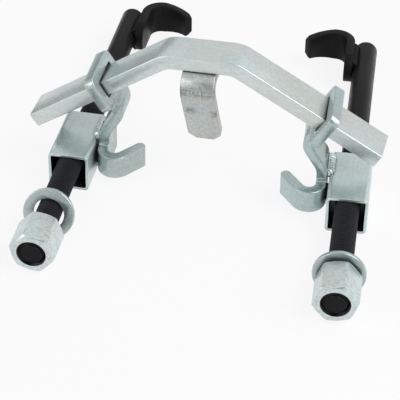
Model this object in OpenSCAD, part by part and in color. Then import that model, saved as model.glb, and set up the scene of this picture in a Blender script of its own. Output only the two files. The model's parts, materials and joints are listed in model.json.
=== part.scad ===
// Coil spring compressor with a safety bridge.
// Two threaded spindles lie side by side along Y. Each carries a black end hook at the far end, a long
// nut and a loose washer at the near end, and a square slide tube with a bent hook plate between them.
// The collars of both hook plates slide on the sloping arms of one bent bridge bar.
// Millimetres, +Z up. The origin is on the ground under the middle of the tool.

/* [Bridge bar] */
// Width of the flat bar along the spindles
bar_w = 24; // [20:0.5:28]
// Thickness of the flat bar
bar_t = 10; // [8:0.5:12]
// Length of the level middle between the two corners of the top face
bar_flat = 48; // [40:1:56]
// Length of each sloping arm on the top face, from corner to end
arm_len = 111; // [100:1:120]
// Slope of the arms below level, degrees
arm_slope = 32; // [30:0.5:34]
// Inner radius of the two bends
bar_bend_r = 12; // [8:1:18]
// Height of the bar's top face above the ground
bar_top = 105; // [101:0.5:112]

/* [Centre hook] */
// Width of the centre hook's strip
centre_hook_w = 22; // [16:1:28]
// Thickness of the centre hook's strip
centre_hook_t = 6; // [4:0.5:8]
// Length of the strip that lies under the bar before the bend
centre_hook_pad = 17; // [12:1:20]
// How far the bend starts inside the bar's front face
centre_hook_inset = 4; // [2:0.5:8]
// Inner radius of the centre hook's bend
centre_hook_bend_r = 6; // [4:0.5:10]
// Total turn of the centre hook's bend, degrees
centre_hook_turn = 110; // [95:1:116]
// Straight length of the hanging finger below the bend
centre_hook_leg = 43; // [25:1:46]
// Chamfer of the finger's lower corners
centre_hook_chamfer = 5; // [2:0.5:7]
// Radius of the two weld beads beside the strip
centre_hook_bead_r = 2.5; // [1.5:0.25:3]

/* [Slide tube] */
// Outer width of the square tube
tube_w = 27; // [24:0.5:29]
// Wall of the square tube
tube_wall = 2; // [1.5:0.25:2.5]
// Length of the tube
tube_len = 50; // [44:1:60]
// Outer corner radius of the tube
tube_corner_r = 3; // [2.5:0.25:4]

/* [Hook plate] */
// Thickness of the hook plate
plate_t = 7; // [5:0.5:8]
// Gap between the tube's side and the plate, bridged by the weld beads
plate_gap = 1.5; // [0.5:0.25:2]
// Width of the upright along the tube
upright_w = 22; // [18:0.5:26]
// Distance from the tube's back end to the upright's back edge
upright_inset = 4; // [2:0.5:8]
// Inward lean of the upright above the tube, degrees
upright_lean = 32; // [28:1:34]
// How far below the tube's top the upright's first bend starts
upright_bend_drop = 1; // [0.5:0.1:1.3]
// Shortest straight run of the upright between its two bends
upright_run_min = 4; // [2:0.5:8]
// Inner radius of the upright's first bend
upright_bend_r = 12; // [8:1:14]
// Inner radius of the bend below the collar
neck_bend_r = 6; // [4:0.5:8]
// Height of the jaw's strip
foot_h = 16; // [12:0.5:20]
// Length of the jaw's strip from the upright to the start of its curl
jaw_lead = 2.5; // [1:0.25:6]
// Inner radius of the jaw's curl
jaw_r = 4.5; // [3:0.25:7]
// Turn of the jaw's curl, degrees
jaw_turn = 142; // [120:1:150]
// Straight length of the jaw's arm after the curl
jaw_arm = 15; // [10:0.5:20]
// Radius of the concave corner between upright and jaw
foot_fillet = 3; // [2:0.25:3.25]
// Wall of the collar in front of and behind the bar
collar_side_wall = 7; // [5:0.5:9]
// Wall of the collar above and below the bar
collar_end_wall = 7; // [5:0.5:8]
// Corner radius of the collar
collar_corner_r = 5; // [3:0.5:7]
// Radius of the concave corners between neck and collar
neck_fillet = 2.5; // [2:0.25:4]
// Flat between the bend below the collar and those corners
neck_flat = 0.8; // [0.4:0.1:2]
// How far the collar's middle stands in front of the upright's middle
collar_shift = 4; // [0:0.5:5]
// Clearance between the bar and the collar's slot, each side
slot_clear = 1.15; // [1:0.05:1.5]
// Radius of the weld beads between tube and plate
plate_bead_r = 3.4; // [2.5:0.1:4]
// Length of the upper weld bead
upper_bead_len = 20; // [10:1:20]
// Length of the lower weld bead
lower_bead_len = 18; // [8:1:20]
// Distance of the beads from the upright's edges
bead_inset = 1; // [0:0.5:3]

/* [Spindle] */
// Distance between the two spindles
rod_spacing = 184; // [180:1:190]
// Diameter of the spindle, over the thread
rod_d = 16; // [14:0.5:17]
// Length of the spindle
rod_len = 280; // [250:1:320]
// Gap between the spindle and the roof of the tube that hangs on it
rod_tube_clear = 0.3; // [0.2:0.05:0.6]
// Chamfer of the spindle's near end
rod_chamfer = 1.5; // [0.5:0.25:2.5]
// Rounding of the spindle's far end
rod_round = 3; // [1:0.5:5]
// Distance from the spindle's near end to the tube's front
tube_from_end = 90; // [78:1:110]

/* [End hook] */
// Height of the end hook's strip
end_hook_h = 22; // [18:0.5:24]
// Height of the end hook at its tip
end_hook_tip_h = 16; // [12:0.5:18]
// Thickness of the end hook's strip
end_hook_t = 6; // [4:0.5:8]
// Length of the leg along the spindle, with its round end
end_hook_leg = 27; // [18:0.5:34]
// Inner radius of the first bend
end_hook_bend_r = 8; // [5:0.5:12]
// Inner radius of the wide curl towards the tip
end_hook_sweep_r = 24; // [18:1:40]
// Turn of the wide curl, degrees
end_hook_sweep = 45; // [30:1:50]
// Flat between the bend and the curl
end_hook_flat = 1; // [0.5:0.5:6]
// Chamfer of the tip's corners
end_hook_chamfer = 2.5; // [1:0.25:4]
// How far the hook's back stands past the spindle's far end
end_hook_past = 7; // [4:0.5:12]
// Gap between spindle and leg, bridged by the weld
end_hook_gap = 0.2; // [0.1:0.05:0.5]
// Distance of the weld's ends from the leg's near end and the spindle's far end
end_hook_weld_inset = 3; // [1:0.5:5]
// Height of the weld on the leg, above and below the spindle's axis
end_hook_weld_h = 9; // [7:0.2:10]
// Height of the weld's root, above and below the spindle's axis
end_hook_weld_root = 2.4; // [1:0.2:4]
// How far round the spindle the weld reaches, degrees from the leg
end_hook_weld_angle = 53; // [45:1:60]

/* [Nut and washer] */
// Width across the flats of the nut
nut_af = 26; // [23:0.5:28]
// Length of the nut
nut_len = 26; // [20:1:36]
// Radial running clearance between nut and spindle
nut_clear = 0.05; // [0.02:0.01:0.08]
// Depth of the countersink at both mouths of the nut
nut_sink = 1.5; // [0.5:0.25:2.5]
// Height of the nut's corner chamfer
nut_chamfer = 1.6; // [0.8:0.2:2.4]
// Angle of the nut's corner chamfer against its end face, degrees
nut_chamfer_angle = 30; // [20:1:40]
// How far the nut's end face lies inside its flats
nut_face_inset = 0.5; // [0.2:0.1:1]
// Angle of the left nut on its spindle, degrees
left_nut_angle = 12; // [0:1:59]
// Angle of the right nut on its spindle, degrees
right_nut_angle = 10; // [0:1:59]
// How far the middle of a washer that stands upright on the ground lies above the spindle's axis
washer_rise = 0.1; // [-0.5:0.1:1]
// How much wider than the spindle the washer's hole is
washer_play = 4.5; // [4.5:0.25:6]
// Thickness of the washer
washer_t = 3; // [2:0.25:3]
// Broken outer edge of the washer
washer_edge = 0.4; // [0.2:0.1:0.8]
// Tilt of the left washer, which leans loose on its spindle, degrees
left_washer_tilt = 20; // [0:1:20]
// Tilt of the right washer, degrees
right_washer_tilt = 3; // [0:1:20]
// Distance from the left nut's face to the nearest point of its washer
left_washer_gap = 9; // [0.5:0.5:15]
// Distance from the right nut's face to the nearest point of its washer
right_washer_gap = 0.6; // [0.5:0.1:15]

/* [Slack] */
// Turn of the left carriage in the play of its collar, seen from above, degrees
left_yaw = 3; // [0:0.5:7]
// Turn of the right carriage in the play of its collar, seen from above, degrees
right_yaw = 6.5; // [0:0.5:7]
// Lean of the bridge to the left in the play of both collars, degrees
bridge_roll = 3; // [0:0.5:3.5]

/* [Hidden] */
$fn = 96;
ZINC = "#c9d2d6";
BLACK = "#1d1e20";
LEFT = -1;
RIGHT = 1;
// Room added to a cutting shape so that it passes right through
cut = 1;
// Where the tool lies, so that the middle of its outer box is over the origin
shift_x = 1.45;
shift_y = 0.671;
// The flats of a bent strip reach this far into its bends, and the bends are this much thicker, so
// that both grow together into one solid
lap = 0.2;
proud = 0.03;

// Places along the spindles
rod_r = rod_d / 2;
rod_x = rod_spacing / 2;
rod_z = tube_w - tube_wall - rod_tube_clear - rod_r;
rod_front = -(rod_len + end_hook_past) / 2;
rod_back = rod_front + rod_len;
tube_front = rod_front + tube_from_end;
tube_back = tube_front + tube_len;
upright_back = tube_back - upright_inset;
upright_front = upright_back - upright_w;
upright_mid = (upright_back + upright_front) / 2;
collar_y = upright_mid - collar_shift;

// The bar: tangent lengths of its bends and the height of its middle line above a spindle
bar_outer_r = bar_bend_r + bar_t;
bar_tangent = bar_outer_r * tan(arm_slope / 2);
bar_end_x = bar_flat / 2 + arm_len * cos(arm_slope);
bar_end_z = bar_top - arm_len * sin(arm_slope);
bar_front = collar_y - bar_w / 2;
bar_under = bar_top - bar_t;
bar_mid_drop = bar_t / (2 * cos(arm_slope));
bar_mid_z_at_rod = bar_top - (rod_x - bar_flat / 2) * tan(arm_slope) - bar_mid_drop;

// The collar and its slot
slot_w = bar_w + 2 * slot_clear;
slot_h = bar_t + 2 * slot_clear;
collar_w = slot_w + 2 * collar_side_wall;
collar_h = slot_h + 2 * collar_end_wall;
neck_to_slot = neck_flat + neck_fillet + collar_h / 2;

// The upright is bent so that the collar's slot lands on the bar's middle line, square to the arm.
// Under a low bar its first bend starts lower, so that a straight run is left between its two bends.
// Inward distances are counted from the spindle's axis.
plate_x = tube_w / 2 + plate_gap + plate_t / 2;
foot_z = (tube_w - foot_h) / 2;
full_rise = tube_w - upright_bend_drop;
first_bend = upright_bend_r + plate_t / 2;
neck_bend = neck_bend_r + plate_t / 2;
bends_in = first_bend * (1 - cos(upright_lean)) + neck_bend * (cos(arm_slope) - cos(upright_lean));
bends_up = first_bend * sin(upright_lean) + neck_bend * (sin(upright_lean) + sin(arm_slope));
slot_x_fixed = plate_x + bends_in - neck_to_slot * sin(arm_slope);
slot_z_fixed = bends_up + neck_to_slot * cos(arm_slope);
run_gain = cos(upright_lean) - sin(upright_lean) * tan(arm_slope);
slot_height = bar_mid_z_at_rod + slot_x_fixed * tan(arm_slope) - slot_z_fixed;
upright_run = max(upright_run_min, (slot_height - full_rise) / run_gain);
upright_rise = slot_height - upright_run * run_gain;
slot_x = slot_x_fixed + upright_run * sin(upright_lean);
slot_z = slot_z_fixed + upright_rise + upright_run * cos(upright_lean);

// The bridge leans about the point where the two lines square to its arms meet, and drops a little,
// so that both collars keep the arms in the middle of their slots.
lean_r = (rod_x - slot_x) / sin(arm_slope);
lean_z = slot_z - lean_r * cos(arm_slope);
lean_drop = lean_r * (1 - cos(bridge_roll)) / cos(arm_slope);

// The end hook
end_hook_x = rod_r + end_hook_gap + end_hook_t / 2;
end_hook_y = rod_back + end_hook_past;
end_hook_bend_y = end_hook_y - end_hook_bend_r - end_hook_t;
end_hook_bend_x = end_hook_x + end_hook_t / 2 + end_hook_bend_r;
end_hook_sweep_x = end_hook_bend_x + end_hook_flat;
end_hook_tip_x = end_hook_sweep_x + (end_hook_sweep_r + end_hook_t) * sin(end_hook_sweep);

// The nut and the washer
nut_bore_r = rod_r + nut_clear;
nut_corner_r = nut_af / 2 / cos(30);
nut_back = rod_front + nut_len;
washer_od = 2 * (rod_z + washer_rise);
washer_id = rod_d + washer_play;

// Puts a left-hand part, drawn with the spindle's axis at x = 0 and inward to +X, on its own side,
// turned about the middle of its collar.
module at_side(side) {
    yaw = side == LEFT ? left_yaw : right_yaw;
    translate([side * (rod_x - slot_x) + shift_x, collar_y + shift_y, 0])
        rotate([0, 0, yaw])
            translate([side * slot_x, -collar_y, 0])
                mirror([side > 0 ? 1 : 0, 0, 0])
                    children();
}

// Leans a part of the bridge to the left.
module on_bridge() {
    translate([shift_x, shift_y, lean_z - lean_drop])
        rotate([0, -bridge_roll, 0])
            translate([0, 0, -lean_z])
                children();
}

// Extrudes an outline drawn in X and Z from y0 to y1.
module along_y(y0, y1) {
    translate([0, y1, 0])
        rotate([90, 0, 0])
            linear_extrude(y1 - y0)
                children();
}

module rounded_rect(w, h, r) {
    square([w - 2 * r, h], center = true);
    square([w, h - 2 * r], center = true);
    for (sx = [-1, 1], sy = [-1, 1])
        translate([sx * (w / 2 - r), sy * (h / 2 - r)])
            circle(r);
}

// One bend of a flat strip that heads along +X: a positive turn bends it to the left.
module strip_bend(inner_r, turn, t, w) {
    mirror([0, turn < 0 ? 1 : 0, 0])
        translate([0, inner_r + t / 2, 0])
            rotate([0, 0, -90])
                rotate_extrude(angle = abs(turn))
                    translate([inner_r - proud, -w / 2 - proud])
                        square([t + 2 * proud, w + 2 * proud]);
}

// A flat strip bent on edge: each step of the path is [straight run, inner radius, turn].
// Children ride on the strip's end.
module bent_strip(path, t, w, i = 0) {
    if (i == len(path)) {
        children();
    } else {
        run = path[i][0];
        turn = path[i][2];
        mid_r = path[i][1] + t / 2;
        from = i == 0 ? 0 : -lap;
        to = turn == 0 ? run : run + lap;
        translate([from, -t / 2, -w / 2])
            cube([to - from, t, w]);
        translate([run, 0, 0]) {
            if (turn != 0)
                strip_bend(path[i][1], turn, t, w);
            translate([mid_r * sin(abs(turn)), sign(turn) * mid_r * (1 - cos(turn)), 0])
                rotate([0, 0, turn])
                    bent_strip(path, t, w, i + 1)
                        children();
        }
    }
}

module bridge_bar() {
    arm_run = arm_len - bar_tangent;
    path = [
        [arm_run, bar_bend_r, -arm_slope],
        [bar_flat - 2 * bar_tangent, bar_bend_r, -arm_slope],
        [arm_run, 0, 0]
    ];
    color(ZINC)
        on_bridge()
            translate([-bar_end_x, collar_y, bar_end_z])
                rotate([90, 0, 0])
                    rotate([0, 0, arm_slope])
                        translate([0, -bar_t / 2, 0])
                            bent_strip(path, bar_t, bar_w);
}

// The finger's end, with its two corners cut off.
module finger_tip(length, w, t, chamfer) {
    rotate([90, 0, 0])
        linear_extrude(t, center = true)
            polygon([
                [-lap, -w / 2],
                [length - chamfer, -w / 2],
                [length, chamfer - w / 2],
                [length, w / 2 - chamfer],
                [length - chamfer, w / 2],
                [-lap, w / 2]
            ]);
}

module centre_hook() {
    pad_back = bar_front + centre_hook_inset + centre_hook_pad;
    path = [[centre_hook_pad, centre_hook_bend_r, centre_hook_turn]];
    color(ZINC)
        on_bridge()
            translate([0, pad_back, bar_under - centre_hook_t / 2 - proud])
                rotate([-90, 0, 0])
                    rotate([0, 90, 0])
                        bent_strip(path, centre_hook_t, centre_hook_w)
                            finger_tip(centre_hook_leg, centre_hook_w, centre_hook_t, centre_hook_chamfer);
}

module centre_hook_weld() {
    bead_front = bar_front + centre_hook_inset;
    bead_back = bead_front + centre_hook_pad;
    color(ZINC)
        on_bridge()
            for (side = [LEFT, RIGHT])
                difference() {
                    translate([side * centre_hook_w / 2, 0, bar_under])
                        along_y(bead_front, bead_back)
                            circle(centre_hook_bead_r);
                    translate([-centre_hook_w, bead_front - cut, bar_under])
                        cube([2 * centre_hook_w, centre_hook_pad + 2 * cut, bar_t]);
                    translate([-centre_hook_w / 2, bead_front - cut, bar_under - bar_t])
                        cube([centre_hook_w, centre_hook_pad + 2 * cut, 2 * bar_t]);
                }
}

module tube_outline() {
    translate([0, tube_w / 2])
        rounded_rect(tube_w, tube_w, tube_corner_r);
}

module slide_tube(side) {
    color(ZINC)
        at_side(side)
            along_y(tube_front, tube_back)
                difference() {
                    tube_outline();
                    translate([0, tube_w / 2])
                        rounded_rect(tube_w - 2 * tube_wall, tube_w - 2 * tube_wall, tube_corner_r - tube_wall);
                }
}

// The jaw's strip seen from above: along the tube towards the nut, then curled inward and back.
// A taller strip of the same path carries the concave corner.
module jaw_strip(height, path) {
    translate([plate_x, upright_back, foot_z + height / 2])
        rotate([0, 0, -90])
            bent_strip(path, plate_t, height)
                children();
}

module jaw() {
    lead = upright_w + jaw_lead;
    jaw_strip(foot_h, [[lead, jaw_r, jaw_turn], [jaw_arm, 0, 0]])
        cylinder(h = foot_h, d = plate_t, center = true);
    intersection() {
        jaw_strip(foot_h + foot_fillet, [[lead, jaw_r, jaw_turn / 2]]);
        translate([0, upright_front - foot_fillet, foot_z + foot_h])
            rotate([90, 0, 90])
                linear_extrude(tube_w + plate_t)
                    difference() {
                        translate([0, -lap])
                            square(foot_fillet + lap);
                        translate([0, foot_fillet])
                            circle(foot_fillet);
                    }
    }
}

// The concave corner beside the neck, where the upright widens into the collar.
module neck_corner() {
    difference() {
        translate([0, -lap])
            square(neck_fillet + lap);
        translate([0, neck_fillet])
            circle(neck_fillet);
    }
}

// The collar is drawn flat, up along X, and rides on the end of the upright.
module collar() {
    translate([(collar_h - collar_end_wall) / 2, 0, collar_shift])
        rotate([90, 0, 0])
            linear_extrude(plate_t, center = true)
                difference() {
                    union() {
                        rounded_rect(collar_h, collar_w, collar_corner_r);
                        for (m = [0, 1])
                            translate([-collar_h / 2 - neck_fillet, -collar_shift])
                                mirror([0, m])
                                    translate([0, upright_w / 2])
                                        neck_corner();
                    }
                    square([slot_h, slot_w], center = true);
                }
}

module upright() {
    path = [
        [upright_rise - foot_z, upright_bend_r, -upright_lean],
        [upright_run, neck_bend_r, upright_lean + arm_slope],
        [neck_flat + neck_fillet + collar_end_wall / 2, 0, 0]
    ];
    translate([plate_x, upright_mid, foot_z])
        rotate([90, 0, 0])
            rotate([0, 0, 90])
                bent_strip(path, plate_t, upright_w)
                    collar();
}

module hook_plate(side) {
    color(ZINC)
        at_side(side) {
            jaw();
            upright();
        }
}

// The plate in section, beside the tube and up its first bend.
module plate_outline() {
    outer_r = upright_bend_r + plate_t;
    face_x = plate_x - plate_t / 2;
    translate([face_x, foot_z])
        square([plate_t, upright_rise - foot_z]);
    translate([face_x + outer_r, upright_rise])
        circle(outer_r + 2 * proud);
}

// A weld bead along the tube with tapered ends, cut back to the faces that it joins.
module plate_bead(y0, y1, z) {
    bead_x = tube_w / 2 + plate_gap / 2;
    taper = plate_bead_r / 2;
    end_r = plate_bead_r - taper;
    difference() {
        translate([bead_x, y0, z])
            rotate([-90, 0, 0])
                rotate_extrude()
                    polygon([
                        [0, 0],
                        [end_r, 0],
                        [plate_bead_r, taper],
                        [plate_bead_r, y1 - y0 - taper],
                        [end_r, y1 - y0],
                        [0, y1 - y0]
                    ]);
        along_y(y0 - tube_w, y1 + tube_w) {
            tube_outline();
            plate_outline();
        }
    }
}

module upper_weld(side) {
    bead_back = upright_back - bead_inset;
    color(ZINC)
        at_side(side)
            plate_bead(bead_back - upper_bead_len, bead_back, tube_w);
}

module lower_weld(side) {
    bead_front = upright_front - bead_inset;
    color(ZINC)
        at_side(side)
            plate_bead(bead_front, bead_front + lower_bead_len, foot_z);
}

module spindle(side) {
    color(BLACK)
        at_side(side)
            translate([0, rod_front, rod_z])
                rotate([-90, 0, 0])
                    rotate_extrude() {
                        polygon([
                            [0, 0],
                            [rod_r - rod_chamfer, 0],
                            [rod_r, rod_chamfer],
                            [rod_r, rod_len - rod_round],
                            [0, rod_len - rod_round]
                        ]);
                        square([rod_r - rod_round, rod_len]);
                        intersection() {
                            translate([rod_r - rod_round, rod_len - rod_round])
                                circle(rod_round);
                            square([rod_r, rod_len]);
                        }
                    }
}

// The end hook seen from the side: full height at the bend, drawn in towards the tip.
module end_hook_mask() {
    half = end_hook_h / 2;
    tip = end_hook_tip_h / 2;
    far = end_hook_tip_x + cut;
    polygon([
        [0, -half],
        [end_hook_sweep_x, -half],
        [end_hook_tip_x - end_hook_chamfer, -tip],
        [far, end_hook_chamfer + cut - tip],
        [far, tip - end_hook_chamfer - cut],
        [end_hook_tip_x - end_hook_chamfer, tip],
        [end_hook_sweep_x, half],
        [0, half]
    ]);
}

module end_hook(side) {
    leg_run = end_hook_leg - end_hook_h / 2;
    path = [
        [leg_run, end_hook_bend_r, -90],
        [end_hook_flat, end_hook_sweep_r, -end_hook_sweep]
    ];
    color(BLACK)
        at_side(side)
            translate([0, 0, rod_z])
                intersection() {
                    translate([end_hook_x, end_hook_bend_y - leg_run, 0]) {
                        rotate([0, 0, 90])
                            bent_strip(path, end_hook_t, end_hook_h);
                        rotate([0, 90, 0])
                            cylinder(h = end_hook_t, d = end_hook_h, center = true);
                    }
                    along_y(end_hook_bend_y - end_hook_leg - cut, end_hook_y + cut)
                        end_hook_mask();
                }
}

// Two fillets fill the valleys between the round spindle and the flat leg, above and below.
module end_hook_weld(side) {
    leg_face = rod_r + end_hook_gap;
    weld_front = end_hook_bend_y - end_hook_leg + end_hook_weld_inset;
    color(BLACK)
        at_side(side)
            translate([0, 0, rod_z])
                for (m = [0, 1])
                    mirror([0, 0, m])
                        along_y(weld_front, rod_back - rod_round - end_hook_weld_inset)
                            difference() {
                                polygon([
                                    [0, end_hook_weld_root],
                                    [leg_face, end_hook_weld_root],
                                    [leg_face, end_hook_weld_h],
                                    rod_r * [cos(end_hook_weld_angle), sin(end_hook_weld_angle)]
                                ]);
                                circle(rod_r);
                            }
}

// A flat ring with broken edges. It leans on the ground, as far as its wide hole lets it.
module washer(side) {
    tilt = side == LEFT ? left_washer_tilt : right_washer_tilt;
    gap = side == LEFT ? left_washer_gap : right_washer_gap;
    half_y = washer_od / 2 * sin(tilt) + washer_t / 2 * cos(tilt);
    half_z = washer_od / 2 * cos(tilt) + washer_t / 2 * sin(tilt);
    color(ZINC)
        at_side(side)
            translate([0, nut_back + gap + half_y, half_z])
                rotate([-90 - tilt, 0, 0])
                    rotate_extrude()
                        polygon([
                            [washer_id / 2, -washer_t / 2],
                            [washer_od / 2 - washer_edge, -washer_t / 2],
                            [washer_od / 2, washer_edge - washer_t / 2],
                            [washer_od / 2, washer_t / 2 - washer_edge],
                            [washer_od / 2 - washer_edge, washer_t / 2],
                            [washer_id / 2, washer_t / 2]
                        ]);
}

// A long hexagon nut, turned at both ends, with countersunk mouths.
module nut(side) {
    angle = side == LEFT ? left_nut_angle : right_nut_angle;
    face_r = nut_af / 2 - nut_face_inset;
    chamfer_r = face_r + nut_chamfer / tan(nut_chamfer_angle);
    color(ZINC)
        at_side(side)
            translate([0, rod_front, rod_z])
                rotate([-90, 0, 0])
                    rotate([0, 0, angle])
                        difference() {
                            intersection() {
                                cylinder(h = nut_len, r = nut_corner_r, $fn = 6);
                                rotate_extrude()
                                    polygon([
                                        [0, 0],
                                        [face_r, 0],
                                        [chamfer_r, nut_chamfer],
                                        [chamfer_r, nut_len - nut_chamfer],
                                        [face_r, nut_len],
                                        [0, nut_len]
                                    ]);
                            }
                            translate([0, 0, -cut])
                                cylinder(h = nut_len + 2 * cut, r = nut_bore_r);
                            rotate_extrude()
                                polygon([
                                    [0, 0],
                                    [nut_bore_r + nut_sink, 0],
                                    [nut_bore_r, nut_sink],
                                    [0, nut_sink]
                                ]);
                            rotate_extrude()
                                polygon([
                                    [0, nut_len],
                                    [nut_bore_r + nut_sink, nut_len],
                                    [nut_bore_r, nut_len - nut_sink],
                                    [0, nut_len - nut_sink]
                                ]);
                        }
}

bridge_bar();
centre_hook();
centre_hook_weld();
slide_tube(LEFT);  // left_slide_tube
hook_plate(LEFT);  // left_hook_plate
upper_weld(LEFT);  // left_upper_weld
lower_weld(LEFT);  // left_lower_weld
spindle(LEFT);  // left_spindle
end_hook(LEFT);  // left_end_hook
end_hook_weld(LEFT);  // left_end_hook_weld
washer(LEFT);  // left_washer
nut(LEFT);  // left_nut
slide_tube(RIGHT);  // right_slide_tube
hook_plate(RIGHT);  // right_hook_plate
upper_weld(RIGHT);  // right_upper_weld
lower_weld(RIGHT);  // right_lower_weld
spindle(RIGHT);  // right_spindle
end_hook(RIGHT);  // right_end_hook
end_hook_weld(RIGHT);  // right_end_hook_weld
washer(RIGHT);  // right_washer
nut(RIGHT);  // right_nut
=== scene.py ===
# %% [markdown]
# # Coil spring compressor with a safety bridge
# A garage tool that squeezes a suspension spring so that its strut can be taken apart. Two black
# spindles hook the spring's far coil, two zinc-plated carriages hook its near coil, and long nuts draw
# them together. One bent flat bar, the bridge, joins both carriages and carries a third hook.
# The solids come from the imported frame. This script gives them their broken edges, their threads, their
# weld ripples, their finishes and a photograph's light.

# %% Load the frame
import json
import math

import bmesh
import bpy
from mathutils import Matrix, Vector


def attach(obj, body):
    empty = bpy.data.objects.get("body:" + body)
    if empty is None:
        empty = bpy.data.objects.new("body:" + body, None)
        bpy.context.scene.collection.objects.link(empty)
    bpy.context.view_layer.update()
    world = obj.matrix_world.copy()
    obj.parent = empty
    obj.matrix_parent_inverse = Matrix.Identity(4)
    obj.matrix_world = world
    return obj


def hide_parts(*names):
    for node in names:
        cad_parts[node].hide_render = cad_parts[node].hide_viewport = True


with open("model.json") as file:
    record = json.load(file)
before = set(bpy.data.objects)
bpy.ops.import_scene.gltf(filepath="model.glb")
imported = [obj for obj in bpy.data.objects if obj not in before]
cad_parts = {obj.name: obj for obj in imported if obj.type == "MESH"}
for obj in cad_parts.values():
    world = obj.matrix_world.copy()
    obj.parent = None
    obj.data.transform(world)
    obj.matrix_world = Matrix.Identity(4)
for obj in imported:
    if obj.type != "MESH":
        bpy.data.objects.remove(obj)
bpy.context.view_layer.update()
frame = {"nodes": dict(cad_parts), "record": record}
MM = 0.001
SIDES = ("left", "right")

# %% [markdown]
# ## A finish starts as one shader
# Zinc plate and black oxide are thin skins on steel. In Blender such a skin is a material: one Principled
# shader, and a small graph of nodes that feeds its colour, its roughness and its relief. The nodes could be
# placed by hand in the editor. Made by two helpers, they stay readable and can be repeated.


# %% Start of a finish
def new_finish(name):
    material = bpy.data.materials.new(name)
    material.use_nodes = True
    shader = material.node_tree.nodes["Principled BSDF"]
    return material, material.node_tree, shader


def add_node(tree, kind, **settings):
    node = tree.nodes.new(kind)
    for key, value in settings.items():
        setattr(node, key, value)
    return node


print("a finish is one Principled shader and the nodes that feed it")

# %% [markdown]
# ## Patterns
# Plating clouds, crystals and rolled grain differ in size and direction only. A painted image would need a
# layout for each piece, while noise in the piece's own object coordinates needs none: it rides with the
# piece and doesn't care where the camera stands. A map range then says how strongly a pattern acts.


# %% Patterns
def object_point(tree):
    return add_node(tree, "ShaderNodeTexCoord").outputs["Object"]


def noise(tree, scale, detail=3.0, roughness=0.5, stretch=(1, 1, 1)):
    """A noise pattern, in features per metre, drawn out along an axis where stretch is under 1."""
    mapping = add_node(tree, "ShaderNodeMapping")
    mapping.inputs["Scale"].default_value = stretch
    tree.links.new(object_point(tree), mapping.inputs["Vector"])
    pattern = add_node(tree, "ShaderNodeTexNoise")
    pattern.inputs["Scale"].default_value = scale
    pattern.inputs["Detail"].default_value = detail
    pattern.inputs["Roughness"].default_value = roughness
    tree.links.new(mapping.outputs["Vector"], pattern.inputs["Vector"])
    return pattern.outputs["Fac"]


def remap(tree, value, low, high, to_low, to_high):
    node = add_node(tree, "ShaderNodeMapRange")
    node.inputs["From Min"].default_value = low
    node.inputs["From Max"].default_value = high
    node.inputs["To Min"].default_value = to_low
    node.inputs["To Max"].default_value = to_high
    tree.links.new(value, node.inputs["Value"])
    return node.outputs["Result"]


print("patterns are noise in object coordinates, in features per metre")

# %% [markdown]
# ## Colours that change over a surface
# Fresh blue-bright zinc is a light grey with a trace of green and blue. All zinc pieces start from that one
# tint, because they share one bath, and each is made a little lighter or darker, partly as painted light.
# Mixing two colours by a pattern gives clouds, and scaling one colour by a pattern gives flecks.

# %% Mixing colours
ZINC_TINT = (0.585, 0.630, 0.622)


def tinted(colour, factors):
    return tuple(min(1.0, channel * factor) for channel, factor in zip(colour, factors))


def blend_colours(tree, factor, first, second):
    """Mixes two colours; each is a colour or the output of another node."""
    node = add_node(tree, "ShaderNodeMix", data_type="RGBA")
    tree.links.new(factor, node.inputs["Factor"])
    for socket, colour in ((node.inputs[6], first), (node.inputs[7], second)):
        if isinstance(colour, bpy.types.NodeSocket):
            tree.links.new(colour, socket)
        else:
            socket.default_value = (*colour, 1.0)
    return node.outputs[2]


def shade(tree, colour, amount):
    """Darkens or lightens a colour by a factor that changes over the surface."""
    node = add_node(tree, "ShaderNodeVectorMath", operation="SCALE")
    tree.links.new(colour, node.inputs[0])
    tree.links.new(amount, node.inputs["Scale"])
    return node.outputs["Vector"]


print("zinc's tint:", ZINC_TINT)

# %% [markdown]
# ## Rubbed edges with painted highlights, and painted shade in corners
# Edges rub bright or dull in the plating barrel and in the tool box, and the lighter edges also paint the
# highlights that light draws along them. Corners and gaps are darkened as painted shade. Both could be
# painted on each piece by hand. The Bevel node finds edges by itself, where its rounded normal leaves the
# true one, and Ambient Occlusion finds corners, where little of the sky is seen.

# %% Edges and corners
EDGE_REACH = 0.9 * MM
CORNER_SHADE_REACH = 5.0 * MM


def edge_wear_and_painted_highlight(tree, to_flat, to_edge):
    """Goes from one value on the flats to another at the edges, for edge wear and painted edge highlights.
    """
    rounded = add_node(tree, "ShaderNodeBevel", samples=6)
    rounded.inputs["Radius"].default_value = EDGE_REACH
    geometry = add_node(tree, "ShaderNodeNewGeometry")
    likeness = add_node(tree, "ShaderNodeVectorMath", operation="DOT_PRODUCT")
    tree.links.new(rounded.outputs["Normal"], likeness.inputs[0])
    tree.links.new(geometry.outputs["Normal"], likeness.inputs[1])
    return remap(tree, likeness.outputs["Value"], 0.80, 0.985, to_edge, to_flat)


def painted_corner_shade(tree, to_open, to_deep):
    """Painted shade: goes from one value on open surfaces to another in corners and gaps, where shade falls.
    """
    occlusion = add_node(tree, "ShaderNodeAmbientOcclusion", samples=8)
    occlusion.inputs["Distance"].default_value = CORNER_SHADE_REACH
    return remap(tree, occlusion.outputs["AO"], 0.30, 0.80, to_deep, to_open)


print("edges within", EDGE_REACH / MM, "mm are rubbed, corners within", CORNER_SHADE_REACH / MM, "mm are painted_dark")

# %% [markdown]
# ## Bright zinc plate
# The bar, the hook plates, the tubes and the hardware are barrel-plated with bright zinc. One even metal
# would look like plastic. The real skin has warm and cool clouds where the bath ran unevenly, a blue cast
# in places, fine crystals, and the rolled grain of the steel underneath, so each of these is a noise of
# its own size.

# %% Zinc's colour
CRYSTALS_PER_M = 420.0
GRAIN_PER_M = 800.0


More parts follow.
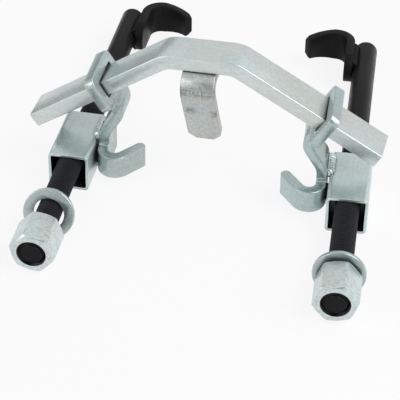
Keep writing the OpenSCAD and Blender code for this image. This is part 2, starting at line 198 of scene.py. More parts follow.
def cloudy_zinc(tree, tint, cloud):
    clouds = noise(tree, cloud, detail=4.0, roughness=0.6)
    colour = blend_colours(tree, remap(tree, clouds, 0.38, 0.62, 0.0, 1.0),
                           tinted(tint, (0.98, 0.95, 0.92)), tinted(tint, (1.01, 1.04, 1.05)))
    blues = noise(tree, cloud * 1.7, detail=2.0)
    return blend_colours(tree, remap(tree, blues, 0.56, 0.74, 0.0, 0.6), colour,
                         tinted(tint, (0.82, 0.94, 1.02)))


def crystal_zinc(tree, colour, crystals, flecks, grain):
    colour = shade(tree, colour, remap(tree, crystals, 0.36, 0.64, 1.0 - flecks, 1.0 + flecks))
    rolled = noise(tree, GRAIN_PER_M, detail=4.0, roughness=0.6, stretch=grain)
    return shade(tree, colour, remap(tree, rolled, 0.36, 0.64, 0.95, 1.04))


print("zinc crystals of about", round(1 / CRYSTALS_PER_M / MM, 1), "mm and finer")

# %% [markdown]
# ## Fine relief
# Zinc crystals and etched black steel are rough by hundredths of a millimetre. Modelling that would take
# millions of faces, and no outline would show it. A bump node bends the light as such a relief does, and
# leaves the mesh as it is.


# %% Fine relief
def bump(tree, shader, height, strength, distance):
    node = add_node(tree, "ShaderNodeBump")
    node.inputs["Strength"].default_value = strength
    node.inputs["Distance"].default_value = distance
    tree.links.new(height, node.inputs["Height"])
    tree.links.new(node.outputs["Normal"], shader.inputs["Normal"])


print("bumps only bend the light; threads, ripples and edges below are real shape")

# %% [markdown]
# ## The whole zinc finish
# Here the colour meets its wear, its painted edge highlights and its painted corner shade, and the shader
# gets its satin roughness with smears along the grain. The crystals also push a very shallow bump, which
# breaks up the reflections. Tube insides and the nuts' mouths are painted near black as shade: their meshes
# mark such places with an attribute, made further down.

# %% Zinc plate
SMEARS_PER_M = 70.0
# near black painted shade for tube insides and nuts' mouths
INSIDE_SHADE_COLOUR = (0.012, 0.012, 0.013)
finishes = {}


def zinc(name, tone_and_painted_light, roughness, grain=(1, 1, 1), cloud=18.0, flecks=0.06, edge_tone=1.35,
         corner_shade=0.35, marks=None):
    """Bright zinc, lighter or darker in each channel than the common tint partly as painted light, with its
    own texture sizes.
    """
    finishes[name], tree, shader = new_finish(name)
    shader.inputs["Metallic"].default_value = 0.72
    shader.inputs["Specular IOR Level"].default_value = 0.4
    crystals = noise(tree, CRYSTALS_PER_M, detail=5.0, roughness=0.7)
    colour = cloudy_zinc(tree, tinted(ZINC_TINT, tone_and_painted_light), cloud)
    colour = crystal_zinc(tree, colour, crystals, flecks, grain)
    # edges: lighter where edge_tone is above 1, partly wear and partly painted highlight; darker on the bar
    colour = shade(tree, colour, edge_wear_and_painted_highlight(tree, 1.0, edge_tone))
    # painted shade: the colour is darkened in corners and gaps, where shade falls
    colour = shade(tree, colour, painted_corner_shade(tree, 1.0, corner_shade))
    if marks:
        colour = marks(tree, colour)
    # painted shade: tube insides and nuts' mouths are mixed towards near black
    inside_shade = add_node(tree, "ShaderNodeAttribute", attribute_name="inside_shade").outputs["Fac"]
    tree.links.new(blend_colours(tree, inside_shade, colour, INSIDE_SHADE_COLOUR), shader.inputs["Base Color"])
    smears = noise(tree, SMEARS_PER_M, detail=5.0, stretch=grain)
    satin = remap(tree, smears, 0.3, 0.7, roughness - 0.08, roughness + 0.10)
    tree.links.new(satin, shader.inputs["Roughness"])
    bump(tree, shader, crystals, 0.16, 0.25 * MM)


print("zinc finish ready, soot colour", INSIDE_SHADE_COLOUR)

# %% [markdown]
# ## One zinc for each kind of piece
# All pieces share the bath but not the steel, and each is made lighter or darker partly as painted light,
# for how the lamps fall on it. The flat bar and the tube show long rolled grain, each along its own length,
# and the bar's edges are painted darker, not lighter. The pressed plate is cloudier and a little darker.
# Nuts and washers tumble most, and their edges get the strongest painted highlights. A weld bead is
# lightest, partly as painted highlight, and its skin is smoothest. Separate calls keep these apart.

# %% Zinc finishes
# lightness of each piece: partly its own tone, partly painted light
zinc("zinc_bar", (1.11, 1.12, 1.12), 0.29, grain=(0.08, 1, 1), edge_tone=0.6)
zinc("zinc_plate", (0.80, 0.87, 0.88), 0.26, cloud=26.0, flecks=0.09)
zinc("zinc_tube", (1.06, 1.13, 1.13), 0.28, grain=(1, 0.08, 1), cloud=22.0, edge_tone=1.4)
zinc("zinc_nut", (1.08, 1.11, 1.12), 0.25, cloud=45.0, flecks=0.14, edge_tone=1.7)
zinc("zinc_washer", (0.80, 0.85, 0.85), 0.26, cloud=60.0, edge_tone=1.9)
zinc("zinc_weld", (1.25, 1.28, 1.30), 0.20, cloud=80.0, flecks=0.14, corner_shade=0.8)
print("zinc finishes:", ", ".join(finishes))

# %% [markdown]
# ## Scuffs on the centre hook's bend
# The press that bent the centre hook scuffed the outside of its bend. A decal would need an image, so the
# scuffs are drawn by place: a band around one height in the piece's own coordinates, broken up by noise.

# %% Scuffed bend
SCUFF_HEIGHT = 84.0 * MM
SCUFF_REACH = 5.0 * MM
SCUFF_COLOUR = (0.10, 0.11, 0.12)


def product(tree, first, second):
    node = add_node(tree, "ShaderNodeMath", operation="MULTIPLY")
    tree.links.new(first, node.inputs[0])
    tree.links.new(second, node.inputs[1])
    return node.outputs["Value"]


def scuffed_bend(tree, colour):
    point = add_node(tree, "ShaderNodeSeparateXYZ")
    tree.links.new(object_point(tree), point.inputs[0])
    off_band = add_node(tree, "ShaderNodeMath", operation="SUBTRACT")
    off_band.inputs[1].default_value = SCUFF_HEIGHT
    tree.links.new(point.outputs["Z"], off_band.inputs[0])
    away = add_node(tree, "ShaderNodeMath", operation="ABSOLUTE")
    tree.links.new(off_band.outputs[0], away.inputs[0])
    band = remap(tree, away.outputs[0], 0.2 * SCUFF_REACH, SCUFF_REACH, 1.0, 0.0)
    scratches = remap(tree, noise(tree, 900.0, detail=4.0, roughness=0.7), 0.44, 0.56, 0.0, 0.75)
    return blend_colours(tree, product(tree, band, scratches), colour, SCUFF_COLOUR)


print("scuffs at a height of", SCUFF_HEIGHT / MM, "mm")

# %% [markdown]
# ## Dried drips on the centre hook
# Two drips of the passivating bath dried brown near the hook's edges. Each is a spot that fades with the
# distance from one point, and a noise makes its rim uneven. The hook's zinc takes both kinds of mark.

# %% Dried drips
STAINS = (Vector((-11.2, -37.0, 67.0)) * MM, Vector((6.2, -36.4, 66.0)) * MM)
STAIN_REACH = 5.0 * MM
STAIN_COLOUR = (0.16, 0.14, 0.075)


def hook_marks(tree, colour):
    colour = scuffed_bend(tree, colour)
    drips = remap(tree, noise(tree, 600.0, detail=3.0), 0.38, 0.60, 0.15, 0.9)
    for stain in STAINS:
        distance = add_node(tree, "ShaderNodeVectorMath", operation="DISTANCE")
        distance.inputs[1].default_value = stain
        tree.links.new(object_point(tree), distance.inputs[0])
        spot = remap(tree, distance.outputs["Value"], 0.3 * STAIN_REACH, STAIN_REACH, 1.0, 0.0)
        colour = blend_colours(tree, product(tree, spot, drips), colour, STAIN_COLOUR)
    return colour


zinc("zinc_centre_hook", (0.88, 0.88, 0.88), 0.30, grain=(1, 1, 0.1), flecks=0.13, marks=hook_marks)
print("centre hook: one scuffed band and", len(STAINS), "stains")

# %% [markdown]
# ## Black oxide
# The spindles and the end hooks are blackened in a hot bath and oiled. The skin is nearly black and
# satin, a little browner where the oil has dried, and grey along rubbed edges. On the thread the crests
# are rubbed and the roots keep their oil; the spindle's mesh carries that as an attribute named crest.

# %% Black oxide
RUBBED_COLOUR = (0.034, 0.035, 0.037)


def black_oxide(name, roughness, gloss, rub):
    finishes[name], tree, shader = new_finish(name)
    shader.inputs["Metallic"].default_value = 0.0
    shader.inputs["Specular IOR Level"].default_value = gloss
    patches = remap(tree, noise(tree, 35.0, detail=4.0), 0.35, 0.7, 0.0, 1.0)
    colour = blend_colours(tree, patches, (0.007, 0.007, 0.008), (0.014, 0.013, 0.013))
    crest = add_node(tree, "ShaderNodeAttribute", attribute_name="crest").outputs["Fac"]
    colour = blend_colours(tree, crest, colour, RUBBED_COLOUR)
    tree.links.new(shade(tree, colour, edge_wear_and_painted_highlight(tree, 1.0, rub)), shader.inputs["Base Color"])
    film = noise(tree, 80.0, detail=4.0)
    satin = remap(tree, film, 0.3, 0.7, roughness - 0.07, roughness + 0.10)
    tree.links.new(satin, shader.inputs["Roughness"])
    bump(tree, shader, noise(tree, 1100.0, detail=2.0), 0.14, 0.2 * MM)


black_oxide("black_spindle", 0.30, 0.09, 1.6)
black_oxide("black_hook", 0.42, 0.10, 2.2)
black_oxide("black_weld", 0.44, 0.10, 1.5)
print("finishes:", len(finishes))

# %% [markdown]
# ## Which piece wears which finish
# The record gives every piece a material slot, and most finishes are named like their slot. The centre hook
# has marks of its own, and nuts and washers share a slot but differ in tone, so these get a finish apart.
# A small dictionary is easier to change than a material chosen inside each step.

# %% Finishes by piece
slot_of = {part["node"]: part["material_slot"] for part in frame["record"]["subparts"]}
finish_of = dict(slot_of)
finish_of["centre_hook"] = "zinc_centre_hook"
for side in SIDES:
    finish_of[side + "_nut"] = "zinc_nut"
    finish_of[side + "_washer"] = "zinc_washer"
print(len(finish_of), "pieces wear", len(set(finish_of.values())), "finishes")

# %% [markdown]
# ## Putting a piece on its body
# The tool moves: carriages slide, nuts turn, spindles are drawn through. Each visible piece stands for one
# solid of the frame and has to ride on that solid's body. One helper does it for all of them, so that no
# piece is left behind.

# %% Placing a piece
bodies = frame["record"]["behaviour"]["bodies"]
body_of = {node: body for body, nodes in bodies.items() for node in nodes}


def place(name, mesh, node):
    """Makes an object that stands for a solid: on its body and with its finish."""
    piece = bpy.data.objects.new(name, mesh)
    bpy.context.scene.collection.objects.link(piece)
    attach(piece, body_of[node])
    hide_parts(node)
    mesh.materials.clear()
    mesh.materials.append(finishes[finish_of[node]])
    return piece


# %% [markdown]
# ## Whole faces from triangles
# A solid arrives as triangles, and its bends as narrow strips. A bevel on those could round lines that
# aren't real edges. So points that all but coincide are merged first, and triangles in one plane are
# joined into the flats that the real plate and bar have.

# %% Whole faces
SAME_POINT = 0.07 * MM
SLIVER = 0.02 * MM
SAME_PLANE = math.radians(1.0)


def whole_faces(node):
    surface = bmesh.new()
    surface.from_mesh(frame["nodes"][node].data)
    bmesh.ops.remove_doubles(surface, verts=surface.verts, dist=SAME_POINT)
    bmesh.ops.dissolve_degenerate(surface, edges=surface.edges, dist=SLIVER)
    bmesh.ops.dissolve_limit(surface, angle_limit=SAME_PLANE, verts=surface.verts, edges=surface.edges)
    mesh = bpy.data.meshes.new(node + "_skin")
    surface.to_mesh(mesh)
    surface.free()
    return mesh


print("points within", SAME_POINT / MM, "mm count as one")

# %% [markdown]
# ## Broken edges
# No edge of a sheared, bent and barrel-plated part is sharp. Modelling every piece again would lose the
# solid's exact form, so each solid is copied, and a bevel modifier gives its edges the small round that the
# real process leaves. Thick bar has larger rounds than thin tube, and a stamped washer has hardly any.

# %% Broken edges
EDGE_ANGLE = math.radians(35)


def broken_edges(node, edge):
    piece = place(node + "_skin", whole_faces(node), node)
    piece.data.shade_smooth()
    rounding = piece.modifiers.new("edge_round", "BEVEL")
    rounding.width = edge
    rounding.segments = 3
    rounding.limit_method = "ANGLE"
    rounding.angle_limit = EDGE_ANGLE
    rounding.use_clamp_overlap = False
    rounding.harden_normals = True
    rounding.miter_outer = "MITER_ARC"
    return piece


edge_rounds = {"bridge_bar": 0.7, "centre_hook": 0.6}
for side in SIDES:
    edge_rounds[side + "_slide_tube"] = 0.35
    edge_rounds[side + "_hook_plate"] = 0.6
    edge_rounds[side + "_end_hook"] = 0.6
    edge_rounds[side + "_washer"] = 0.15
skins = {node: broken_edges(node, edge * MM) for node, edge in edge_rounds.items()}
print("edges broken on", len(skins), "pieces")

# %% [markdown]
# ## Axes of the two spindles
# Tube, washer, nut and spindle share one axis on each side, and the tool lies with both sides a little
# askew. The nut's joint gives that axis, so everything round can be made upright at the origin, with Z
# along the spindle from its near end, and then laid in place by one matrix. Its three axes have to be
# right-handed: a mirrored matrix would turn a right-hand thread into a left-hand one.

# %% Spindle axes
NUT_LEN = 26.0 * MM
joints = {joint["name"]: joint for joint in frame["record"]["behaviour"]["joints"]}


def spindle_frame(side):
    """The middle of the spindle's near end face, and axes with Z along the spindle."""
    turn = joints[side + "_nut_turn"]
    along = Vector(turn["axis"]).normalized()
    start = Vector(turn["pos_m"]) - along * NUT_LEN / 2
    across = Vector((0, 0, 1)).cross(along).normalized()
    up = along.cross(across)
    return Matrix.Translation(start) @ Matrix((across, up, along)).transposed().to_4x4()


for side in SIDES:
    print(side, "spindle axis:", tuple(round(value, 3) for value in spindle_frame(side).col[2][:3]))

# %% [markdown]
# ## Painted shade inside the tubes
# The tubes' inner walls are painted near black as shade. They are marked face by face, and the zinc finish
# turns dark where it finds the mark.

# %% Tube insides
TUBE_HALF = 13.5 * MM
TUBE_WALL = 2.0 * MM
TUBE_INSIDE_SHADE = 0.93


def mark_inside(side):
    mesh = skins[side + "_slide_tube"].data
    to_axis = spindle_frame(side).inverted()
    # the tube's inner wall gets painted shade, face by face
    inside = mesh.attributes.new("inside_shade", "FLOAT", "FACE")
    count = 0
    for face, value in zip(mesh.polygons, inside.data):
        sideways = abs((to_axis @ face.center).x)
        height_off = abs(face.center.z - TUBE_HALF)
        faces_along = abs(face.normal.dot(Vector(joints[side + "_nut_turn"]["axis"])))
        if max(sideways, height_off) < TUBE_HALF - TUBE_WALL / 2 and faces_along < 0.5:
            value.value = TUBE_INSIDE_SHADE
            count += 1
    return count


for side in SIDES:
    print(side, "tube:", mark_inside(side), "inner faces marked")

# %% [markdown]
# ## Turned shapes from rings
# A nut and a spindle are turned on a lathe, so both are stacks of rings. Blender's cylinders and booleans
# would leave ragged triangles where shapes meet. Rings whose radius and height are formulas of the angle
# can be bridged with clean quads, whatever the outline.


# %% Rings
def fixed(value):
    return lambda turn: value


def ring(surface, radius_at, height_at, steps, start=0.0):
    """A closed ring of points whose radius and height may change on the way round."""
    points = []
    for step in range(steps):
        turn = 2 * math.pi * step / steps
        radius = radius_at(turn)
        angle = start + turn
        point = (radius * math.cos(angle), radius * math.sin(angle), height_at(turn))
        points.append(surface.verts.new(point))
    return points


def bridge_rings(surface, rings):
    for lower, upper in zip(rings, rings[1:]):
        for step in range(len(lower)):
            after = (step + 1) % len(lower)
            surface.faces.new((lower[step], lower[after], upper[after], upper[step]))


print("rings are bridged with four-sided faces")

# %% [markdown]
# ## Onto the spindle's axis
# Nuts and spindles are built upright and then laid down by their spindle's matrix. Turned steel is smooth
# round its curves and crisp where two surfaces meet, so the mesh is shaded smooth, and edges that turn
# more than a given angle stay sharp.


# %% Onto the axis
def finished_mesh(surface, name, side, sharp_from):
    """Lays an upright surface on its spindle's axis and keeps edges sharp from an angle in degrees."""
    bmesh.ops.transform(surface, matrix=spindle_frame(side), verts=surface.verts)
    mesh = bpy.data.meshes.new(name)
    surface.to_mesh(mesh)
    surface.free()
    mesh.shade_smooth()
    mesh.set_sharp_from_angle(angle=math.radians(sharp_from))
    return mesh


print("turned pieces are laid on", len(SIDES), "axes")

# %% [markdown]
# ## Outline of a long nut
# Each nut is turned from hexagon bar: six flats, both ends chamfered at 30 degrees, so that the chamfer's
# edge runs in six arcs, and a countersunk mouth. Cutting a hexagon with a cone would do it in the workshop.
# Here one formula gives the hexagon's radius at any angle, a second the chamfer's height over it, and the
# edges get their small rounds from rings of their own.

# %% Nut's outline
NUT_HALF = 13.0 * MM
NUT_FACE_R = NUT_HALF - 0.5 * MM
NUT_CORNER_R = NUT_HALF / math.cos(math.radians(30)) - 0.22 * MM
NUT_SINK = 1.5 * MM
NUT_BORE_R = 8.05 * MM
NUT_MOUTH_R = NUT_BORE_R + NUT_SINK
NUT_CHAMFER = math.tan(math.radians(30))


def hexagon(turn):
    off_flat = turn % math.radians(60) - math.radians(30)
    return min(NUT_HALF / math.cos(off_flat), NUT_CORNER_R)


def chamfer(turn):
    return (hexagon(turn) - NUT_FACE_R) * NUT_CHAMFER


# From the bore out to a flat: radius, height over the end face, painted shade of the mouth
NUT_OUTLINE = (
    (fixed(NUT_BORE_R), fixed(NUT_SINK), 1.0),
    (fixed(NUT_MOUTH_R - 0.15 * MM), fixed(0.15 * MM), 1.0),
    (fixed(NUT_MOUTH_R + 0.15 * MM), fixed(0.0), 0.0),
    (fixed(NUT_FACE_R - 0.30 * MM), fixed(0.0), 0.0),
    (fixed(NUT_FACE_R + 0.10 * MM), fixed(0.09 * MM), 0.0),
    (lambda turn: hexagon(turn) - 0.24 * MM, lambda turn: chamfer(turn) - 0.12 * MM, 0.0),
    (lambda turn: hexagon(turn) - 0.06 * MM, lambda turn: chamfer(turn) + 0.06 * MM, 0.0),
    (hexagon, lambda turn: chamfer(turn) + 0.30 * MM, 0.0),
)
print("nut:", round(2 * NUT_HALF / MM), "mm across flats,",
      round(2 * NUT_CORNER_R / MM, 1), "mm across corners")

# %% [markdown]
# ## Long nuts
# Both ends of a nut are alike, so the same outline is walked from the near bore to a flat, and back from
# the flat to the far bore. The solid tells how far each nut is turned: its farthest point is a corner, and
# the rings start there. The mouth's painted shade is stored point by point, so that it fades out at its rim.

# %% Long nuts
NUT_STEPS = 96


def nut_phase(side):
    """The angle about the spindle at which one of the solid's corners stands."""
    to_axis = spindle_frame(side).inverted()
    points = [to_axis @ vertex.co for vertex in frame["nodes"][side + "_nut"].data.vertices]
    corner = max(points, key=lambda point: math.hypot(point.x, point.y))
    return math.atan2(corner.y, corner.x)


def from_far_end(height_at):
    return lambda turn: NUT_LEN - height_at(turn)


def nut_mesh(side, phase):
    surface = bmesh.new()
    inside_shade = surface.verts.layers.float.new("inside_shade")
    far_half = [(radius, from_far_end(height), dark) for radius, height, dark in reversed(NUT_OUTLINE)]
    rings = []
    for radius_at, height_at, dark in (*NUT_OUTLINE, *far_half):
        points = ring(surface, radius_at, height_at, NUT_STEPS, phase)
        for point in points:
            # painted shade in the nut's mouth
            point[inside_shade] = dark
        rings.append(points)
    bridge_rings(surface, [*rings, rings[0]])
    bmesh.ops.recalc_face_normals(surface, faces=surface.faces)
    return finished_mesh(surface, side + "_long_nut", side, 24)


for side in SIDES:
    phase = nut_phase(side)
    place(side + "_long_nut", nut_mesh(side, phase), side + "_nut")
    print(side, "nut: corner at", round(math.degrees(phase) % 60, 1), "degrees")

# %% [markdown]
# ## A rolled thread
# The near half of each spindle carries a right-hand thread of 2 mm pitch, the rest is plain bar. A bump
# could fake it, but the outline of a thread is a row of teeth, so it is modelled. Each point lies somewhere
# between crest and root and climbs with its angle. The depth fades out at the plain end, as a die leaves
# it, and the near end is chamfered so that a nut finds the start.

# %% Points of the thread
ROD_R = 8.0 * MM
PITCH = 2.0 * MM
THREAD_DEPTH = 1.1 * MM
THREAD_LEN = 152.0 * MM
FADE_LEN = 4.0 * MM
END_CHAMFER = 1.5 * MM
STEPS_PER_TURN = 48
# The thread's profile over one pitch: part of the pitch, part of the depth
PROFILE = ((0.0, 1.0), (0.22, 1.0), (0.56, 0.0), (0.68, 0.0))
# How rubbed the plain bar is, where a crest is 1 and a root 0
PLAIN_TONE = 0.12


def thread_point(surface, crest, base, turn, depth_part):
    height = min(THREAD_LEN, max(0.0, base + turn * PITCH))
    fade = min(1.0, max(0.0, (THREAD_LEN - height) / FADE_LEN))
    radius = min(ROD_R - THREAD_DEPTH * depth_part * fade, ROD_R - END_CHAMFER + height)
    angle = 2 * math.pi * turn
    point = surface.verts.new((radius * math.cos(angle), radius * math.sin(angle), height))
    point[crest] = (1.0 - depth_part) * fade + PLAIN_TONE * (1.0 - fade)
    return point


print("thread:", round(THREAD_LEN / PITCH), "turns of", PITCH / MM, "mm")

# %% [markdown]
# ## The helix as a sheared grid
# A screw modifier could sweep the profile, but its ends stay open. Here the helix is a grid that leans: each
# row of points climbs one pitch in a turn, and its last point meets the row one pitch further on. Rows that
# would run past an end of the thread are pressed flat against it, which closes the end.

# %% Rows of the thread
THREAD_ROWS = int((THREAD_LEN / PITCH + 2) * len(PROFILE)) + 1


def thread_rows(surface, crest):
    turns = [step / STEPS_PER_TURN for step in range(STEPS_PER_TURN + 1)]
    rows = []
    for index in range(THREAD_ROWS):
        part, depth_part = PROFILE[index % len(PROFILE)]
        base = (index // len(PROFILE) - 1 + part) * PITCH
        rows.append([thread_point(surface, crest, base, turn, depth_part) for turn in turns])
    for lower, upper in zip(rows, rows[1:]):
        for step in range(STEPS_PER_TURN):
            surface.faces.new((lower[step], lower[step + 1], upper[step + 1], upper[step]))


print("thread:", THREAD_ROWS, "rows of", STEPS_PER_TURN + 1, "points")

# %% [markdown]
# ## Spindles
# Beyond its thread a spindle is plain round bar with a rounded far end, where the hook is welded on. That is
# a stack of rings again. Thread, plain bar and flat near end are built apart and meet in the same points,
# so merging those points closes the spindle into one skin.

# %% Spindles
ROD_LEN = 280.0 * MM
FAR_ROUND = 3.0 * MM
FAR_STEPS = 6
MEETING = 0.01 * MM


def plain_bar(surface, crest):
    outline = [(ROD_R, THREAD_LEN)]
    for step in range(FAR_STEPS + 1):
        angle = math.radians(90) * step / FAR_STEPS
        outline.append((ROD_R - FAR_ROUND + FAR_ROUND * math.cos(angle),
                        ROD_LEN - FAR_ROUND + FAR_ROUND * math.sin(angle)))
    rings = [ring(surface, fixed(radius), fixed(height), STEPS_PER_TURN) for radius, height in outline]
    for points in rings:
        for point in points:
            point[crest] = PLAIN_TONE
    bridge_rings(surface, rings)
    surface.faces.new(rings[-1])


def spindle_mesh(side):
    surface = bmesh.new()
    crest = surface.verts.layers.float.new("crest")
    thread_rows(surface, crest)
    bmesh.ops.remove_doubles(surface, verts=surface.verts, dist=MEETING)
    plain_bar(surface, crest)
    near_end = ring(surface, fixed(ROD_R - END_CHAMFER), fixed(0.0), STEPS_PER_TURN)
    surface.faces.new(reversed(near_end))
    bmesh.ops.remove_doubles(surface, verts=surface.verts, dist=MEETING)
    return finished_mesh(surface, side + "_spindle_thread", side, 32)


for side in SIDES:
    spindle = place(side + "_spindle_thread", spindle_mesh(side), side + "_spindle")
    print(side, "spindle:", round(ROD_LEN / MM), "mm long,", len(spindle.data.polygons), "faces")

# %% [markdown]
# ## Melted skin of a weld
# Each bead was laid by hand with a stick electrode and then plated or blackened with its parts. Its solid
# has flat faces and clear edges, which molten steel never has. A voxel remesh turns it into one fine even
# skin, and a few rounds of smoothing let it sag together. A subdivision would keep the old edges in it.

# %% Melted skin
BEAD_VOXEL = 0.3 * MM
MELT_ROUNDS = 8


def melted_skin(bead):
    fine = bead.modifiers.new("fine_skin", "REMESH")
    fine.mode = "VOXEL"
    fine.voxel_size = BEAD_VOXEL
    soft = bead.modifiers.new("melted", "SMOOTH")
    soft.factor = 0.5
    soft.iterations = MELT_ROUNDS
    depsgraph = bpy.context.evaluated_depsgraph_get()
    skin = bpy.data.meshes.new_from_object(bead.evaluated_get(depsgraph))
    bead.modifiers.clear()
    return skin


print("weld skins in steps of", BEAD_VOXEL / MM, "mm")

# %% [markdown]
# ## Ripples of a weld
# The pool freezes in overlapping ripples, one for each short stop of the welder's hand. A bump map would
# vanish at the outline, so the skin itself is pushed out and in along the bead. A slow sway keeps the
# ripples uneven, as a hand does. The upper welds are laid fuller than the others.

# %% Weld beads
RIPPLE = 2.4 * MM
RIPPLE_HEIGHT = 0.42 * MM
UPPER_SWELL = 0.5 * MM


def ripple(distance):
    """How far the skin stands out at a distance along the bead."""
    run = distance / RIPPLE
    sway = 0.35 * math.sin(0.9 * run) + 0.2 * math.sin(2.3 * run + 1.0)
    wave = math.sin(2 * math.pi * (run + 0.3 * sway))
    return RIPPLE_HEIGHT * (0.6 * wave + 0.5 * sway)


def weld_bead(node, along, swell=0.0):
    bead = place(node + "_bead", frame["nodes"][node].data.copy(), node)
    skin = melted_skin(bead)
    skin.name = node + "_bead"
    for vertex in skin.vertices:
        vertex.co += vertex.normal * (swell + ripple(vertex.co.dot(along)))
    bead.data = skin
    skin.shade_smooth()


weld_bead("centre_hook_weld", Vector((0, 1, 0)))
for side in SIDES:
    along = Vector(joints[side + "_nut_turn"]["axis"]).normalized()
    weld_bead(side + "_upper_weld", along, swell=UPPER_SWELL)
    weld_bead(side + "_lower_weld", along)
    weld_bead(side + "_end_hook_weld", along)
print("weld beads:", 1 + 3 * len(SIDES))

# %% [markdown]
# ## What the camera sees of the studio
# The photograph is a catalogue picture on white. Raising the lamps until everything around the tool turns
# white would bleach the zinc. The Light Path node tells what kind of ray asks for a colour, so floor and
# world can be white to the camera and in reflections, and still light the tool softly.


# %% Rays that look
def seen_directly(tree):
    """1 for rays from the camera and mirrored or refracted ones, 0 for light that falls on things."""
    path = add_node(tree, "ShaderNodeLightPath")
    mirrored = add_node(tree, "ShaderNodeMath", operation="MAXIMUM")
    tree.links.new(path.outputs["Is Glossy Ray"], mirrored.inputs[0])
    tree.links.new(path.outputs["Is Transmission Ray"], mirrored.inputs[1])
    seen = add_node(tree, "ShaderNodeMath", operation="MAXIMUM")
    tree.links.new(path.outputs["Is Camera Ray"], seen.inputs[0])
    tree.links.new(mirrored.outputs[0], seen.inputs[1])
    return seen.outputs[0]


print("camera, glossy and transmission rays see white")

# %% [markdown]
# ## White floor
# The tool lies on white paper. A floor that only glows has no shadow, and the tool would float. So the glow
# is mixed with plain paper, and the part of the paper that is left carries the shadow.

# %% White floor
FLOOR_WASH = 0.87
FLOOR_HALF = 6.0


def flat_sheet(name, half):
    """A flat square that belongs to the studio, not to the tool."""
    surface = bmesh.new()
    bmesh.ops.create_grid(surface, x_segments=1, y_segments=1, size=half)
    mesh = bpy.data.meshes.new(name)
    surface.to_mesh(mesh)
    surface.free()
    sheet = bpy.data.objects.new(name, mesh)
    bpy.context.scene.collection.objects.link(sheet)
    return sheet


def paper_white():
    material, tree, paper = new_finish("floor_paper")
    paper.inputs["Base Color"].default_value = (0.93, 0.93, 0.93, 1.0)
    paper.inputs["Roughness"].default_value = 0.9
    paper.inputs["Specular IOR Level"].default_value = 0.1
    white = add_node(tree, "ShaderNodeEmission")
    wash = add_node(tree, "ShaderNodeMixShader")
    tree.links.new(remap(tree, seen_directly(tree), 0.0, 1.0, 0.0, FLOOR_WASH), wash.inputs[0])
    tree.links.new(paper.outputs[0], wash.inputs[1])
    tree.links.new(white.outputs[0], wash.inputs[2])
    tree.links.new(wash.outputs[0], tree.nodes["Material Output"].inputs["Surface"])
    return material


floor = flat_sheet("floor", FLOOR_HALF)
floor.data.materials.append(paper_white())
print("floor:", 2 * FLOOR_HALF, "m square,", round(1 - FLOOR_WASH, 2), "of its shading kept")

# %% [markdown]
# ## Studio world
# A photographer's white room sends weak light from everywhere. An image of a studio would bring its own
# windows into the zinc, so the world is even: a faint cool light for what it falls on, plain white for
# what looks at it.

# %% Studio world
WORLD_LIGHT = 0.40


def studio_world():
    world = bpy.data.worlds.new("studio")
    world.use_nodes = True
    tree = world.node_tree
    tree.nodes.clear()
    output = add_node(tree, "ShaderNodeOutputWorld")
    soft = add_node(tree, "ShaderNodeBackground")
    soft.inputs["Color"].default_value = (0.97, 0.985, 1.0, 1.0)
    soft.inputs["Strength"].default_value = WORLD_LIGHT
    white = add_node(tree, "ShaderNodeBackground")
    white.inputs["Strength"].default_value = 1.0
    mix = add_node(tree, "ShaderNodeMixShader")
    tree.links.new(seen_directly(tree), mix.inputs[0])
    tree.links.new(soft.outputs[0], mix.inputs[1])
    tree.links.new(white.outputs[0], mix.inputs[2])
    tree.links.new(mix.outputs[0], output.inputs["Surface"])
    return world


bpy.context.scene.world = studio_world()
print("world lights with strength", WORLD_LIGHT, "and looks white")

# %% [markdown]
# ## Soft boxes
# Two lamps shape the tool. A wide soft box above and to the right lights the tops of bar, tubes and nuts,
# and a weaker one from the left front opens the shadows. Area lamps are used, because a point lamp or a sun
# would draw hard bright lines on the plating.

# %% Soft boxes
TOOL_MIDDLE = Vector((0, 0, 30)) * MM


def facing_tool(place_at, front):
    """The rotation that turns an object's front axis from its place towards the tool."""
    return (TOOL_MIDDLE - Vector(place_at)).to_track_quat(front, "Y").to_euler()


def soft_box(name, place_at, size, power):
    light = bpy.data.lights.new(name, "AREA")
    light.shape = "SQUARE"
    light.size = size
    light.energy = power
    lamp = bpy.data.objects.new(name, light)
    bpy.context.scene.collection.objects.link(lamp)
    lamp.location = place_at
    lamp.rotation_euler = facing_tool(place_at, "-Z")
    print(name, "light:", power, "W from", place_at)


soft_box("key", (0.90, -0.12, 0.98), 1.1, 10.5)
soft_box("fill", (-0.95, -0.85, 0.65), 0.9, 4.0)

# %% [markdown]
# ## Grey cards
# In an all-white room polished zinc turns white too and loses its form. Photographers hold up dark cards,
# which the metal mirrors. Two dull cards do that here, one behind the camera and one far to the left.
# They show only in reflections: they cast no shadow and take no light from the tool.


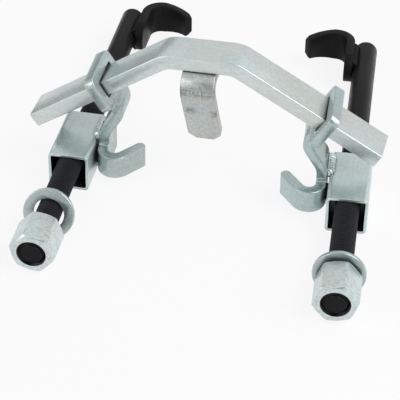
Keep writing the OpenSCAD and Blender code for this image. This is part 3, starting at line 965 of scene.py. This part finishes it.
# %% Grey cards
def grey_card(name, place_at, size, grey):
    card = flat_sheet(name, size / 2)
    card.location = place_at
    card.rotation_euler = facing_tool(place_at, "Z")
    material, tree, shader = new_finish(name)
    shader.inputs["Base Color"].default_value = (grey, grey, grey, 1.0)
    shader.inputs["Roughness"].default_value = 0.9
    card.data.materials.append(material)
    card.visible_camera = False
    card.visible_diffuse = False
    card.visible_shadow = False
    print(name, "is", size, "m wide, grey", grey)


grey_card("card_behind_camera", (0.28, -1.25, 1.0), 1.1, 0.10)
grey_card("card_far_left", (-1.3, 1.4, 0.35), 1.2, 0.60)

# %% [markdown]
# ## Lens
# The picture was taken from about a metre with a long lens. The lens and the camera's place come from a fit
# of 27 points of the solids to the same points in the picture, which agrees to about three pixels. It gives
# the focal length in pixels; Blender wants it in millimetres on a sensor, and the small offset as a shift.

# %% Lens
FOCAL_PX = 1774.3
PHOTO_PX = 400
CENTRE_PX = (200.5, 195.1)

camera_data = bpy.data.cameras.new("camera")
camera_data.sensor_width = 36.0
camera_data.lens = FOCAL_PX / PHOTO_PX * camera_data.sensor_width
camera_data.shift_x = (PHOTO_PX / 2 - CENTRE_PX[0]) / PHOTO_PX
camera_data.shift_y = (CENTRE_PX[1] - PHOTO_PX / 2) / PHOTO_PX
print("lens", round(camera_data.lens, 1), "mm")

# %% [markdown]
# ## The camera's place
# The camera stands in front of the nuts, above them and a little to the right, and looks down over the
# bridge. A Track To constraint could aim it, but not with the photograph's slight roll. So its axes are
# worked out from two points, its own place and the one it aims at, and turned by the roll. The Standard view
# transform shows colours about as they are written.

# %% Camera's place
CAMERA_AT = Vector((218.7, -933.7, 726.4)) * MM
AIM_AT = Vector((0.2, -50.0, 10.0)) * MM
CAMERA_ROLL = 0.0166

forward = (AIM_AT - CAMERA_AT).normalized()
right = forward.cross(Vector((0, 0, 1))).normalized()
upward = right.cross(forward)
turned_right = math.cos(CAMERA_ROLL) * right + math.sin(CAMERA_ROLL) * upward
turned_up = math.cos(CAMERA_ROLL) * upward - math.sin(CAMERA_ROLL) * right
camera = bpy.data.objects.new("camera", camera_data)
bpy.context.scene.collection.objects.link(camera)
camera.matrix_world = (Matrix.Translation(CAMERA_AT)
                       @ Matrix((turned_right, turned_up, -forward)).transposed().to_4x4())
bpy.context.scene.camera = camera
bpy.context.scene.view_settings.view_transform = "Standard"
print("camera", round((AIM_AT - CAMERA_AT).length, 2), "m from the tool")
